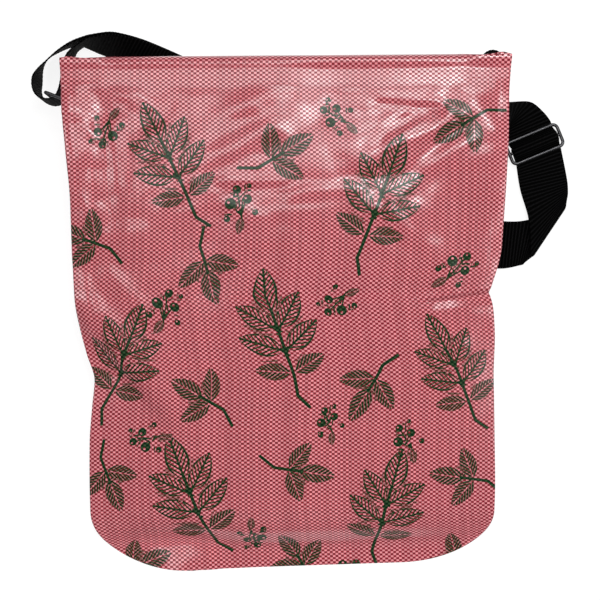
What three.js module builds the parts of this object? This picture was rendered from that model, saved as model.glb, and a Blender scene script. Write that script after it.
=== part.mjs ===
// Flap shoulder bag of laminated woven sack cloth, lying on its back.
// Millimetres, +Z up, +X to the bag's right as seen from above, +Y towards its top edge.
// The ground is z = 0. The flap is on top and covers the whole front.
import * as THREE from 'three';

// ---------------------------------------------------------------- sizes
const CLOTH = 1.2;            // thickness of the laminated cloth
const GAP = 0.35;             // clearance between pieces that are sewn or touch
const WEB = 1.4;              // thickness of the webbing
const WEB_W = 38;             // width of the webbing
const WEB_PITCH = 1.7;        // distance between the mid-planes of two doubled layers

const BAG_X = -11.5;          // middle line of the bag
const FOLD_Y = 166.5;         // where the flap starts to turn over the top edge
const FOLD_R = 23.4;          // radius of that turn
const FLAP_Z = 47.4;          // height of the flap's mid-surface near the top edge
const REST_Z = 0.6;           // height of cloth that lies on the ground
const LAP_Y = 148;            // lower edge of the flap's sewn margin under the back panel
const LAP_LIFT = 2.6;         // that margin lifts the back panel by this much
const FLAP_CUT_L = 46;        // radius of the flap's left bottom corner
const FLAP_CUT_R = 41;        // radius of the flap's right bottom corner
const HEM_SLOPE = 0.033;      // the flap lies a little askew: slope of its bottom edge
const HEM_Y = -214.6;         // bottom edge at x = HEM_X
const HEM_X = -72;
const BODY_CUT = 34;          // radius of the pouch's bottom corners
const BODY_END = 41;          // the pouch ends this far above the flap's bottom edge
const FRONT_TOP = 173;        // top edge of the front panel
const BACK_TOP = 170;         // top edge of the back panel
const GUSSET_TOP = 164;       // top ends of the gusset, a little below the mouth
const FRONT_DROP = 6.4;       // the front panel lies this far below the flap
const SEAM = 2.2;             // the panels stand this far past the gusset
const GUSSET_SINK = 4;        // the gusset's middle crease falls inwards by this much

const RING = { long: 44, short: 27.2, bar: 2.5, z0: 0.4, outer: [-197.0, 160.2], inner: [-171.7, 150.2] };
const SLIDER = { long: 46, pitch: 9, bar: 3, thick: 2.4, x: 186.8, y: 123.9, z: 5.6, turn: 22.5 };

const FLAP_COLS = 28;
const FLAP_ROWS = 22;
const PANEL_COLS = 14;
const PANEL_ROWS = 15;

// ---------------------------------------------------------------- tables
// Side edges of the flap, from the top edge to the bottom.
const FLAP_EDGES = [
  { y: 190, left: -184.7, right: 162.2 },
  { y: 153, left: -184.0, right: 159.6 },
  { y: 115, left: -180.8, right: 159.2 },
  { y: 77, left: -178.0, right: 157.9 },
  { y: 39, left: -177.7, right: 155.9 },
  { y: 23, left: -177.3, right: 153.6 },
  { y: 6, left: -176.5, right: 148.4 },
  { y: -8, left: -175.2, right: 151.6 },
  { y: -24, left: -172.8, right: 153.8 },
  { y: -40, left: -169.2, right: 154.4 },
  { y: -62, left: -163.2, right: 154.9 },
  { y: -80, left: -164.8, right: 155.3 },
  { y: -112, left: -167.4, right: 155.0 },
  { y: -160, left: -167.7, right: 155.6 },
  { y: -220, left: -167.6, right: 155.0 },
];
// Height of the flap over its middle, by the distance up from its bottom edge.
const FLAP_RISE = [
  { up: 0, z: 0.9 }, { up: 12, z: 1.2 }, { up: 19, z: 3.2 }, { up: 27, z: 10.5 },
  { up: 38, z: 23.5 }, { up: 55, z: 32 }, { up: 85, z: 38.5 }, { up: 135, z: 43.5 },
  { up: 215, z: 47 }, { up: 315, z: 48 }, { up: 385, z: FLAP_Z },
];
// Share of that height which the flap's side edges lose: flat at the top, on the ground lower down.
const FLAP_DROOP = [
  { y: 168, share: 0 }, { y: 150, share: 0.02 }, { y: 115, share: 0.10 }, { y: 77, share: 0.24 },
  { y: 39, share: 0.40 }, { y: 6, share: 0.54 }, { y: -24, share: 0.66 }, { y: -62, share: 0.86 },
  { y: -90, share: 0.96 }, { y: -220, share: 0.975 },
];
// Main dents and folds of the flap: a soft ridge (rise > 0) or valley from one point to another.
const FOLDS = [
  { name: 'left ridge', x1: -168, y1: 136, x2: -153, y2: 45, width: 11, rise: 2.6 },
  { name: 'left valley', x1: -141, y1: 152, x2: -136, y2: 82, width: 12, rise: -2.4 },
  { name: 'corner streak', x1: -152, y1: 166, x2: -118, y2: 146, width: 10, rise: 1.6 },
  { name: 'right swell', x1: 62, y1: 165, x2: 124, y2: 112, width: 26, rise: 1.8 },
  { name: 'right hollow', x1: 96, y1: 84, x2: 146, y2: 44, width: 18, rise: -2.8 },
  { name: 'right ridge', x1: 62, y1: 72, x2: 116, y2: 20, width: 10, rise: 2.2 },
  { name: 'notch pleat', x1: 106, y1: 7, x2: 150, y2: 5, width: 8, rise: -2.4 },
  { name: 'notch ridge', x1: 108, y1: -8, x2: 152, y2: -9, width: 9, rise: 2.0 },
  { name: 'left pinch', x1: -168, y1: -24, x2: -132, y2: -50, width: 15, rise: -2.6 },
];
// Half width of the pouch.
const BODY_HALF = [
  { y: 180, half: 150 }, { y: 100, half: 149 }, { y: 0, half: 145 }, { y: -100, half: 139 }, { y: -180, half: 137 },
];
// Line of the doubled strap under the bag, which lifts the back a little.
const UNDER = [
  { x: 176, y: 45 }, { x: 135, y: 48.5 }, { x: 108, y: 61.5 }, { x: -124, y: 192.8 },
];
const UNDER_LIFT = 4.3, UNDER_FLAT = 22, UNDER_RUN = 30;

// The strap's sections: centre, direction of the section from its inner to its outer edge
// (turn about +Z from +X, lean up from the ground) and its length across.
const STRAP_SEWN = [
  { x: 154.6, y: 175.0, z: 21.2, turn: 180, lean: -90 },
  { x: 154.0, y: 185.6, z: 21.2, turn: 180, lean: -90 },
  { x: 148.8, y: 190.6, z: 21.2, turn: 270, lean: -90 },
  { x: 143.4, y: 186.4, z: 21.2, turn: 330, lean: -90 },
  { x: 140.8, y: 176.0, z: 21.2, turn: 0, lean: -90 },
  { x: 141.2, y: 165.6, z: 21.2, turn: 20, lean: -90 },
  { x: 146.2, y: 159.4, z: 21.2, turn: 60, lean: -88 },
  { x: 156.0, y: 158.8, z: 21.0, turn: 90, lean: -74 },
  { x: 166.6, y: 157.2, z: 16.4, turn: 70, lean: -48 },
  { x: 174.4, y: 150.6, z: 8.9, turn: 42, lean: -22 },
  { x: 178.9, y: 143.2, z: 4.6, turn: 27, lean: -6 },
];
// Wave of the strap through the slider, by the distance along it from the middle bar.
const STRAP_WAVE = [
  { along: -13.5, z: 3.2 }, { along: -9, z: 3.05 }, { along: -7.2, z: 3.2 }, { along: -4.7, z: 6.2 },
  { along: -2.7, z: 9.2 }, { along: 0, z: 10.1 }, { along: 2.7, z: 9.2 }, { along: 4.7, z: 6.2 },
  { along: 7.2, z: 3.2 }, { along: 9, z: 3.05 },
];
const STRAP_FLAT = [
  { x: 194.2, y: 92.5, z: 4.2, turn: 14, lean: 0 },
  { x: 197.6, y: 74.8, z: 6.2, turn: 35, lean: 0 },
];
// Flat diagonal fold: middle of the fold's edge, its direction, and the radius of the outer layer.
const STRAP_FOLD = { x: 202.4, y: 55.3, turn: 62, across: 45.5, radius: 2.8, steps: 6 };
const STRAP_UNDER = [
  { x: 180.0, y: 47.4, z: 0.7, turn: 77, lean: 0 },
  { x: 160.3, y: 44.0, z: 0.7, turn: 84, lean: 0 },
  { x: 135.0, y: 48.5, z: 0.7, turn: 74, lean: 0 },
  { x: 108.0, y: 61.5, z: 0.7, turn: 63, lean: 0 },
  { x: 0.0, y: 122.6, z: 0.7, turn: 60.5, lean: 0 },
  { x: -60.0, y: 156.6, z: 0.73, turn: 60.5, lean: 0 },
  { x: -84.0, y: 170.0, z: 0.85, turn: 60.5, lean: 0 },
  { x: -100.0, y: 179.0, z: 1.2, turn: 61, lean: 0 },
  { x: -118.0, y: 188.0, z: 3.4, turn: 63, lean: 8 },
  { x: -133.0, y: 193.5, z: 8.2, turn: 68, lean: 23 },
  { x: -147.0, y: 195.3, z: 15.0, turn: 80, lean: 49 },
  { x: -160.0, y: 195.6, z: 19.2, turn: 92, lean: 74 },
];
// Loop through the ring, standing on edge, out and back.
const STRAP_LOOP = [
  { x: -174.5, y: 196.0, z: 20.3, turn: 105, lean: 88 },
  { x: -189.0, y: 192.6, z: 21.0, turn: 120, lean: 90 },
  { x: -199.6, y: 184.2, z: 21.6, turn: 140, lean: 90 },
  { x: -205.8, y: 173.0, z: 22.2, turn: 160, lean: 90 },
  { x: -206.4, y: 162.0, z: 22.3, turn: 190, lean: 90 },
  { x: -201.0, y: 152.8, z: 22.3, turn: 220, lean: 90 },
  { x: -192.6, y: 148.2, z: 22.3, turn: 250, lean: 90 },
  { x: -185.4, y: 150.2, z: 22.3, turn: 300, lean: 90 },
  { x: -183.4, y: 157.0, z: 22.3, turn: 345, lean: 90 },
  { x: -181.0, y: 168.0, z: 22.2, turn: 350, lean: 90 },
  { x: -178.0, y: 179.0, z: 21.8, turn: 350, lean: 90 },
  { x: -172.0, y: 189.4, z: 20.6, turn: 310, lean: 89 },
];
// The strap's end, wrapped round the slider's middle bar from below.
const STRAP_END = [
  { along: 9, z: 1.25 }, { along: 4.6, z: 2.1 }, { along: 1.6, z: 3.1 }, { along: -1.5, z: 3.1 },
  { along: -3.0, z: 5.6 }, { along: -1.5, z: 8.0 }, { along: 0.9, z: 8.0 },
];
// Tab round the ring's inner bar: distance out from the gusset and to the side.
const TAB = [
  { out: 2.6, side: -1.05 }, { out: 6, side: -1.3 }, { out: 10, side: -2.3 }, { out: 12.8, side: -2.85 },
  { out: 15.1, side: -2.05 }, { out: 16, side: 0 }, { out: 15.1, side: 2.05 },
  { out: 12.8, side: 2.85 }, { out: 10, side: 2.3 }, { out: 6, side: 1.3 }, { out: 2.6, side: 1.05 },
];

// ---------------------------------------------------------------- helpers
const rad = (deg) => deg * Math.PI / 180;
const mix = (a, b, t) => a + (b - a) * t;
const smooth = (t) => { const c = Math.min(1, Math.max(0, t)); return c * c * (3 - 2 * c); };

// Smooth curve through a table: value of one column at a given place in another.
function look(table, keyColumn, valueColumn, key) {
  const rows = table[0][keyColumn] < table[table.length - 1][keyColumn] ? table : [...table].reverse();
  const last = rows.length - 1;
  if (key <= rows[0][keyColumn]) return rows[0][valueColumn];
  if (key >= rows[last][keyColumn]) return rows[last][valueColumn];
  let i = 0;
  while (key > rows[i + 1][keyColumn]) i += 1;
  const slope = (k) => {
    if (k <= 0 || k >= last) return 0;
    const a = rows[k - 1], b = rows[k], c = rows[k + 1];
    const s1 = (b[valueColumn] - a[valueColumn]) / (b[keyColumn] - a[keyColumn]);
    const s2 = (c[valueColumn] - b[valueColumn]) / (c[keyColumn] - b[keyColumn]);
    return s1 * s2 <= 0 ? 0 : 2 * s1 * s2 / (s1 + s2);
  };
  const h = rows[i + 1][keyColumn] - rows[i][keyColumn];
  const t = (key - rows[i][keyColumn]) / h;
  const t2 = t * t, t3 = t2 * t;
  return (2 * t3 - 3 * t2 + 1) * rows[i][valueColumn] + (t3 - 2 * t2 + t) * h * slope(i)
    + (-2 * t3 + 3 * t2) * rows[i + 1][valueColumn] + (t3 - t2) * h * slope(i + 1);
}

function toSegment(x, y, a, b) {
  const dx = b.x - a.x, dy = b.y - a.y;
  const t = Math.min(1, Math.max(0, ((x - a.x) * dx + (y - a.y) * dy) / (dx * dx + dy * dy)));
  return Math.hypot(x - a.x - dx * t, y - a.y - dy * t);
}

// A wall of even thickness on both sides of a grid of mid-surface points.
function wall(points, rows, cols, thickness) {
  const at = (i, j) => points[i * cols + j];
  const position = [];
  const side = [[], []];
  for (let i = 0; i < rows; i += 1) {
    for (let j = 0; j < cols; j += 1) {
      const du = new THREE.Vector3().subVectors(at(i, Math.min(j + 1, cols - 1)), at(i, Math.max(j - 1, 0)));
      const dv = new THREE.Vector3().subVectors(at(Math.min(i + 1, rows - 1), j), at(Math.max(i - 1, 0), j));
      const n = new THREE.Vector3().crossVectors(du, dv).normalize();
      for (const k of [0, 1]) {
        const p = at(i, j).clone().addScaledVector(n, (k === 0 ? 0.5 : -0.5) * thickness);
        side[k].push(position.length / 3);
        position.push(p.x, p.y, p.z);
      }
    }
  }
  const index = [];
  const quad = (a, b, c, d) => index.push(a, b, c, a, c, d);
  for (let i = 0; i + 1 < rows; i += 1) {
    for (let j = 0; j + 1 < cols; j += 1) {
      const a = i * cols + j, b = a + 1, c = a + cols + 1, d = a + cols;
      quad(side[0][a], side[0][b], side[0][c], side[0][d]);
      quad(side[1][d], side[1][c], side[1][b], side[1][a]);
    }
  }
  const rim = [];
  for (let j = 0; j < cols - 1; j += 1) rim.push(j);
  for (let i = 0; i < rows - 1; i += 1) rim.push(i * cols + cols - 1);
  for (let j = cols - 1; j > 0; j -= 1) rim.push((rows - 1) * cols + j);
  for (let i = rows - 1; i > 0; i -= 1) rim.push(i * cols);
  rim.forEach((a, k) => {
    const b = rim[(k + 1) % rim.length];
    quad(side[0][b], side[0][a], side[1][a], side[1][b]);
  });
  const geometry = new THREE.BufferGeometry();
  geometry.setAttribute('position', new THREE.Float32BufferAttribute(position, 3));
  geometry.setIndex(index);
  geometry.computeVertexNormals();
  return geometry;
}

// ---------------------------------------------------------------- heights
const hemY = (x) => HEM_Y + HEM_SLOPE * (x - HEM_X);

function underLift(x, y) {
  let d = Infinity;
  for (let i = 0; i + 1 < UNDER.length; i += 1) d = Math.min(d, toSegment(x, y, UNDER[i], UNDER[i + 1]));
  return UNDER_LIFT * (1 - smooth((d - UNDER_FLAT) / UNDER_RUN));
}

// Flap mid-surface, without its dents, over a point of the plan.
function flapHeight(x, y) {
  const left = look(FLAP_EDGES, 'y', 'left', y), right = look(FLAP_EDGES, 'y', 'right', y);
  const s = Math.min(1, Math.abs((2 * x - left - right) / (right - left)));
  const droop = look(FLAP_DROOP, 'y', 'share', y) * (Math.max(0, s - 0.5) / 0.5) ** 2;
  const rise = look(FLAP_RISE, 'up', 'z', y - hemY(x));
  return REST_Z + 0.3 + (rise - REST_Z - 0.3) * (1 - droop);
}

function dents(x, y) {
  let z = 0;
  for (const f of FOLDS) {
    const d = toSegment(x, y, { x: f.x1, y: f.y1 }, { x: f.x2, y: f.y2 });
    z += f.rise * Math.exp(-((d / f.width) ** 2));
  }
  return z;
}

const backHeight = (x, y) => REST_Z + underLift(x, y) + LAP_LIFT * smooth((y - LAP_Y + 16) / 12);
const frontHeight = (x, y) => Math.max(flapHeight(x, Math.min(y, FOLD_Y)) - FRONT_DROP, backHeight(x, y) + 5);

// How far a rounded bottom corner draws a row in, at a height above the bottom edge.
const corner = (radius, up) => (up >= radius ? 0 : radius - Math.sqrt(radius * radius - (radius - up) ** 2));

// Heights of the rows above the bottom edge: close together in the rounded corners.
function rowHeights(top, radius, rows, cornerRows) {
  const list = [];
  for (let i = 0; i <= rows; i += 1) list.push(mix(top, radius, i / rows));
  for (let i = 1; i <= cornerRows; i += 1) list.push(radius * (1 - Math.cos(rad(90 * (1 - i / cornerRows)))));
  return list;
}

// ---------------------------------------------------------------- flap
function flapGeometry() {
  const points = [];
  const half = look(BODY_HALF, 'y', 'half', FOLD_Y);
  let rows = 0;
  const add = (make) => {
    for (let j = 0; j <= FLAP_COLS; j += 1) points.push(make(2 * j / FLAP_COLS - 1));
    rows += 1;
  };
  // sewn margin under the back panel, then the turn over the top edge
  add((s) => {
    const x = BAG_X + half * s;
    return new THREE.Vector3(x, LAP_Y, REST_Z + underLift(x, LAP_Y));
  });
  for (const phi of [0, 22, 45, 68, 90, 112, 135, 157]) {
    const y = FOLD_Y + FOLD_R * Math.sin(rad(phi));
    const wide = phi > 120;
    const left = wide ? look(FLAP_EDGES, 'y', 'left', 188) : BAG_X - half;
    const right = wide ? look(FLAP_EDGES, 'y', 'right', 188) : BAG_X + half;
    add((s) => {
      const x = mix(left, right, (s + 1) / 2);
      const low = REST_Z + underLift(x, FOLD_Y + 4);
      const z = mix(low, FLAP_Z, (1 - Math.cos(rad(phi))) / 2);
      const out = phi > 100 ? smooth((Math.abs(x - BAG_X) - half + 15) / 14) : 0;
      return new THREE.Vector3(x, mix(y, FOLD_Y + 22 * Math.min(1, (180 - phi) / 45), out), mix(z, FLAP_Z - 0.4, out));
    });
  }
  const tall = FOLD_Y - HEM_Y;
  for (const up of rowHeights(tall, FLAP_CUT_L, FLAP_ROWS, 6)) {
    add((s) => {
      const y0 = HEM_Y + up;
      const left = look(FLAP_EDGES, 'y', 'left', y0) + corner(FLAP_CUT_L, up);
      const right = look(FLAP_EDGES, 'y', 'right', y0) - corner(FLAP_CUT_R, up);
      const x = mix(left, right, (s + 1) / 2);
      const y = mix(hemY(x), FOLD_Y, up / tall);
      const z = flapHeight(x, y) + dents(x, y) * smooth((FOLD_Y - y) / 20) * smooth(up / 60);
      return new THREE.Vector3(x, y, Math.max(z, REST_Z + 0.05));
    });
  }
  return wall(points, rows, FLAP_COLS + 1, CLOTH);
}

// ---------------------------------------------------------------- pouch
const bodyBottom = (x) => hemY(x) + BODY_END;

function panelGeometry(top, height, out) {
  const points = [];
  let rows = 0;
  const base = HEM_Y + BODY_END;
  const tall = top - base;
  for (const up of rowHeights(tall, BODY_CUT, PANEL_ROWS, 4)) {
    for (let j = 0; j <= PANEL_COLS; j += 1) {
      const half = look(BODY_HALF, 'y', 'half', base + up) - corner(BODY_CUT, up);
      const x = BAG_X + half * (2 * j / PANEL_COLS - 1);
      const y = mix(bodyBottom(x), top, up / tall);
      points.push(new THREE.Vector3(x, y, height(x, y) + out));
    }
    rows += 1;
  }
  return wall(points, rows, PANEL_COLS + 1, CLOTH);
}

// The gusset runs down the left side, along the bottom and up the right side.
function gussetGeometry() {
  const base = HEM_Y + BODY_END + SEAM;
  const plan = [];
  const tall = GUSSET_TOP - base;
  const cut = BODY_CUT - SEAM;
  const heights = rowHeights(tall, cut, 9, 5);
  for (const up of heights) plan.push({ side: -1, up });
  for (let k = 1; k < 8; k += 1) plan.push({ side: mix(-1, 1, k / 8), up: 0 });
  for (const up of [...heights].reverse()) plan.push({ side: 1, up });
  const path = plan.map(({ side, up }) => {
    const half = look(BODY_HALF, 'y', 'half', base + up) - SEAM - corner(cut, up);
    const x = BAG_X + half * side;
    return new THREE.Vector2(x, mix(bodyBottom(x) + SEAM, GUSSET_TOP, up / tall));
  });
  const points = [];
  path.forEach((p, i) => {
    const before = path[Math.max(i - 1, 0)], after = path[Math.min(i + 1, path.length - 1)];
    const inward = new THREE.Vector2(-(after.y - before.y), after.x - before.x).normalize();
    const near = [-12, -6, 0, 6, 12].map((d) => [p.x + inward.y * d, p.y - inward.x * d]);
    const low = Math.max(...near.map(([x, y]) => backHeight(x, y))) + CLOTH / 2 + GAP + 0.35;
    const high = Math.min(...near.map(([x, y]) => frontHeight(x, y))) - CLOTH / 2 - GAP - 0.6;
    for (const t of [0, 0.25, 0.5, 0.75, 1]) {
      const sink = GUSSET_SINK * Math.sin(Math.PI * t) * Math.min(1, (high - low) / 30);
      points.push(new THREE.Vector3(p.x + inward.x * sink, p.y + inward.y * sink, mix(low, high, t)));
    }
  });
  return wall(points, path.length, 5, CLOTH);
}

// ---------------------------------------------------------------- strap
const section = ({ x, y, z, turn, lean, across = WEB_W }) => ({
  middle: new THREE.Vector3(x, y, z),
  half: new THREE.Vector3(Math.cos(rad(turn)) * Math.cos(rad(lean)), Math.sin(rad(turn)) * Math.cos(rad(lean)), Math.sin(rad(lean)))
    .multiplyScalar(across / 2),
});

// Extra sections on a smooth curve between the given ones.
function between(list, count) {
  const out = [];
  const pick = (i) => list[Math.min(list.length - 1, Math.max(0, i))];
  const curve = (a, b, c, d, t) => {
    const v = new THREE.Vector3();
    for (const k of ['x', 'y', 'z']) {
      v[k] = 0.5 * (2 * b[k] + (c[k] - a[k]) * t + (2 * a[k] - 5 * b[k] + 4 * c[k] - d[k]) * t * t
        + (3 * b[k] - a[k] - 3 * c[k] + d[k]) * t * t * t);
    }
    return v;
  };
  for (let i = 0; i + 1 < list.length; i += 1) {
    for (let k = 0; k < count; k += 1) {
      const t = k / count;
      const row = {};
      for (const key of ['middle', 'half']) row[key] = curve(pick(i - 1)[key], pick(i)[key], pick(i + 1)[key], pick(i + 2)[key], t);
      out.push(row);
    }
  }
  out.push(list[list.length - 1]);
  return out;
}

const alongSlider = ({ along, z }) => section({
  x: SLIDER.x + Math.sin(rad(SLIDER.turn)) * along,
  y: SLIDER.y - Math.cos(rad(SLIDER.turn)) * along,
  z, turn: SLIDER.turn, lean: 0,
});

function foldSections() {
  const f = STRAP_FOLD;
  const out = new THREE.Vector2(Math.sin(rad(f.turn)), -Math.cos(rad(f.turn)));
  const list = [];
  for (let k = 0; k <= f.steps; k += 1) {
    const psi = Math.PI * k / f.steps;
    const reach = f.radius * (Math.sin(psi) - 1);
    list.push(section({
      x: f.x + out.x * reach, y: f.y + out.y * reach, z: 0.7 + f.radius * (1 + Math.cos(psi)),
      turn: f.turn, lean: 0, across: f.across,
    }));
  }
  return list;
}

function strapRows() {
  const sewn = between([...STRAP_SEWN.map(section), alongSlider(STRAP_WAVE[0])], 3);
  const wave = STRAP_WAVE.slice(1).map(alongSlider);
  const fold = foldSections();
  const down = between([wave[wave.length - 1], ...STRAP_FLAT.map(section), fold[0]], 2).slice(1);
  const under = between([fold[fold.length - 1], ...STRAP_UNDER.map(section)], 2).slice(1);
  const doubled = [...down, ...fold.slice(1), ...under];
  const back = doubled.map((row, i) => {
    const before = doubled[Math.max(i - 1, 0)].middle, after = doubled[Math.min(i + 1, doubled.length - 1)].middle;
    const normal = new THREE.Vector3().crossVectors(row.half, new THREE.Vector3().subVectors(after, before)).normalize();
    return { middle: row.middle.clone().addScaledVector(normal, WEB_PITCH), half: row.half.clone() };
  }).reverse();
  const loop = between([doubled[doubled.length - 1], ...STRAP_LOOP.map(section), back[0]], 2).slice(1, -1);
  const end = between(STRAP_END.map(alongSlider), 2);
  return [...sewn, ...wave, ...doubled, ...loop, ...back, ...end];
}

function bandGeometry(rows) {
  const points = [];
  for (const { middle, half } of rows) {
    points.push(middle.clone().sub(half), middle.clone().add(half));
  }
  return wall(points, rows.length, 2, WEB);
}

// ---------------------------------------------------------------- tab, ring and slider
const ringPlan = new THREE.Vector2(RING.inner[0] - RING.outer[0], RING.inner[1] - RING.outer[1]).normalize();
const ringMid = { x: (RING.inner[0] + RING.outer[0]) / 2, y: (RING.inner[1] + RING.outer[1]) / 2, z: RING.z0 + RING.long / 2 };

function tabRows() {
  const bar = { x: RING.inner[0] - ringPlan.x * RING.bar / 2, y: RING.inner[1] - ringPlan.y * RING.bar / 2 };
  const rows = TAB.map(({ out, side }) => section({
    x: bar.x + ringPlan.x * (13 - out) - ringPlan.y * side,
    y: bar.y + ringPlan.y * (13 - out) + ringPlan.x * side,
    z: ringMid.z - 0.2, turn: 0, lean: 90,
  }));
  return between(rows, 2);
}

function roundedRect(path, width, height, radius) {
  const x = width / 2, y = height / 2, r = radius;
  path.moveTo(-x + r, -y);
  path.lineTo(x - r, -y);
  path.absarc(x - r, -y + r, r, -Math.PI / 2, 0);
  path.lineTo(x, y - r);
  path.absarc(x - r, y - r, r, 0, Math.PI / 2);
  path.lineTo(-x + r, y);
  path.absarc(-x + r, y - r, r, Math.PI / 2, Math.PI);
  path.lineTo(-x, -y + r);
  path.absarc(-x + r, -y + r, r, Math.PI, 1.5 * Math.PI);
  return path;
}

function plate(width, height, radius, windows, thick) {
  const shape = roundedRect(new THREE.Shape(), width, height, radius);
  for (const w of windows) {
    const hole = new THREE.Path();
    const r = w.radius, x = w.width / 2, y = w.height / 2;
    hole.moveTo(-x + r, w.y - y);
    hole.absarc(-x + r, w.y - y + r, r, 1.5 * Math.PI, Math.PI, true);
    hole.absarc(-x + r, w.y + y - r, r, Math.PI, Math.PI / 2, true);
    hole.absarc(x - r, w.y + y - r, r, Math.PI / 2, 0, true);
    hole.absarc(x - r, w.y - y + r, r, 0, -Math.PI / 2, true);
    shape.holes.push(hole);
  }
  const geometry = new THREE.ExtrudeGeometry(shape, { depth: thick, bevelEnabled: false, curveSegments: 5 });
  geometry.translate(0, 0, -thick / 2);
  return geometry;
}

// ---------------------------------------------------------------- assembly
const cloth = new THREE.MeshStandardMaterial({ color: 0xbc5e62, roughness: 0.32, metalness: 0 });
const webbing = new THREE.MeshStandardMaterial({ color: 0x17171a, roughness: 0.8, metalness: 0 });
const metal = new THREE.MeshStandardMaterial({ color: 0xa9abae, roughness: 0.25, metalness: 1 });

const bag = new THREE.Group();
const put = (name, geometry, material, place) => {
  const mesh = new THREE.Mesh(geometry, material);
  mesh.name = name;
  if (place) place(mesh);
  bag.add(mesh);
};

put('back_panel', panelGeometry(BACK_TOP, backHeight, 0), cloth);
put('front_panel', panelGeometry(FRONT_TOP, frontHeight, 0), cloth);
put('gusset', gussetGeometry(), cloth);
put('flap', flapGeometry(), cloth);
put('strap', bandGeometry(strapRows()), webbing);
put('tab_left', bandGeometry(tabRows()), webbing);
put('ring_left', plate(RING.short, RING.long, 3.2,
  [{ y: 0, width: RING.short - 2 * RING.bar, height: RING.long - 2 * RING.bar, radius: 1.2 }], RING.bar), metal, (mesh) => {
  mesh.position.set(ringMid.x, ringMid.y, ringMid.z);
  mesh.rotation.set(Math.PI / 2, 0, Math.atan2(ringPlan.y, ringPlan.x), 'ZYX');
});
put('slider_right', plate(SLIDER.long, 2 * SLIDER.pitch + SLIDER.bar, 3,
  [-1, 1].map((k) => ({ y: k * SLIDER.pitch / 2, width: SLIDER.long - 2 * SLIDER.bar, height: SLIDER.pitch - SLIDER.bar, radius: 1 })),
  SLIDER.thick), metal, (mesh) => {
  mesh.position.set(SLIDER.x, SLIDER.y, SLIDER.z);
  mesh.rotation.z = rad(SLIDER.turn);
});

// The origin is the middle of the bag's outline on the ground.
bag.updateMatrixWorld(true);
const box = new THREE.Box3().setFromObject(bag, true);
bag.position.set(-(box.min.x + box.max.x) / 2, -(box.min.y + box.max.y) / 2, -box.min.z);
bag.updateMatrixWorld(true);

export default bag;
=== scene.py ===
import math

import bpy
import numpy as np
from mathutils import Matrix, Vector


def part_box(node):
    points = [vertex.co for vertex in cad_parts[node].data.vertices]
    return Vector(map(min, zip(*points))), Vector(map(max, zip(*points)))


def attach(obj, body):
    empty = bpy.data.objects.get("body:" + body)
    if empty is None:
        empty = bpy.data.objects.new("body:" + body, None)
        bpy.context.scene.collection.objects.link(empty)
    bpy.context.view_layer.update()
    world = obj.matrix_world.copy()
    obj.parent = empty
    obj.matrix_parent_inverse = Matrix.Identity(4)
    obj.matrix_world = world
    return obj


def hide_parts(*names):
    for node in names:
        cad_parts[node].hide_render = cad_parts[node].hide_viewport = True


# Flap shoulder bag of laminated woven sack cloth, lying on its back, flap up.
# Lengths below are millimetres in the plan's own coordinates; put() moves them to the shared frame.
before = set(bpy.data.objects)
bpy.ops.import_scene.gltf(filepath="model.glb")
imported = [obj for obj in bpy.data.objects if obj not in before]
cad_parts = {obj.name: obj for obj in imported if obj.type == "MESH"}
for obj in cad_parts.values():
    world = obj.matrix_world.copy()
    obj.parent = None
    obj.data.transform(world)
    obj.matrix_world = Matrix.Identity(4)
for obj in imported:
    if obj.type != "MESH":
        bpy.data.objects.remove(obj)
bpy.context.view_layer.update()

# ---------------------------------------------------------------- sizes
CLOTH = 0.9                   # thickness of the cloth as it shows
WEB = 1.4                     # webbing: thickness, width, rib pitch, distance between doubled layers
WEB_W = 38.0
WEB_RIB = 2.6
WEB_PITCH = 1.8
BAG_X = -11.5
FOLD_Y, FOLD_R = 165.4, 22.0  # turn of the flap over the top edge
FLAP_Z, REST_Z = 47.4, 0.5
TOP_SLOPE = 0.0085            # the top edge rises a little to the right
LAP_Y, LAP_LIFT = 148.0, 2.6
FLAP_CUT_L, FLAP_CUT_R = (80.0, 50.0), (72.0, 41.0)   # rounded corners, across and up
HEM_SLOPE, HEM_Y, HEM_X = 0.033, -214.6, -72.0
HEM_W = 8.0                   # width of the flap's turned edge
BODY_CUT, BODY_END = 34.0, 41.0
FRONT_TOP, BACK_TOP, GUSSET_TOP = 173.0, 170.0, 164.0
FRONT_DROP, SEAM, GUSSET_SINK = 6.4, 2.2, 4.0
RING = dict(long=44.0, short=27.2, wire=2.6, z0=0.4, outer=(-197.0, 160.2), inner=(-171.7, 150.2))
SLIDER = dict(long=46.0, pitch=9.0, wire=2.7, x=186.8, y=123.9, z=5.6, turn=22.5)
TAPE_U, TAPE_V = 2.2, 1.66   # tapes of the weave, across and along

# Side edges of the flap: place along y, edge.
FLAP_LEFT = [
    (190, -183.9), (153, -182.8), (115, -179.4), (77, -176.8), (39, -176.6), (23, -176.0), (6, -175.2), (-8, -173.8),
    (-24, -171.2), (-40, -167.4), (-62, -161.2), (-80, -162.8), (-112, -165.2), (-160, -165.6), (-220, -165.6),
]
FLAP_RIGHT = [
    (190, 162.2), (153, 160.2), (115, 159.6), (77, 158.4), (36, 156.4), (26, 154.6), (15, 151.4), (7, 148.8),
    (1.6, 147.0), (-1.4, 148.2), (-8, 150.0), (-19, 151.4), (-35, 152.2), (-62, 151.6), (-80, 152.0), (-112, 152.8),
    (-160, 153.8), (-220, 153.4),
]
# Height of the flap over its middle, by the distance up from its bottom edge.
FLAP_RISE = [
    (0, 1.0), (8, 0.9), (14, 1.5), (19, 4), (25, 10), (32, 16.5), (42, 21.5), (60, 25.5), (90, 29.5), (135, 34),
    (190, 39), (240, 43), (290, 46), (335, 47.3), (385, FLAP_Z),
]
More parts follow.
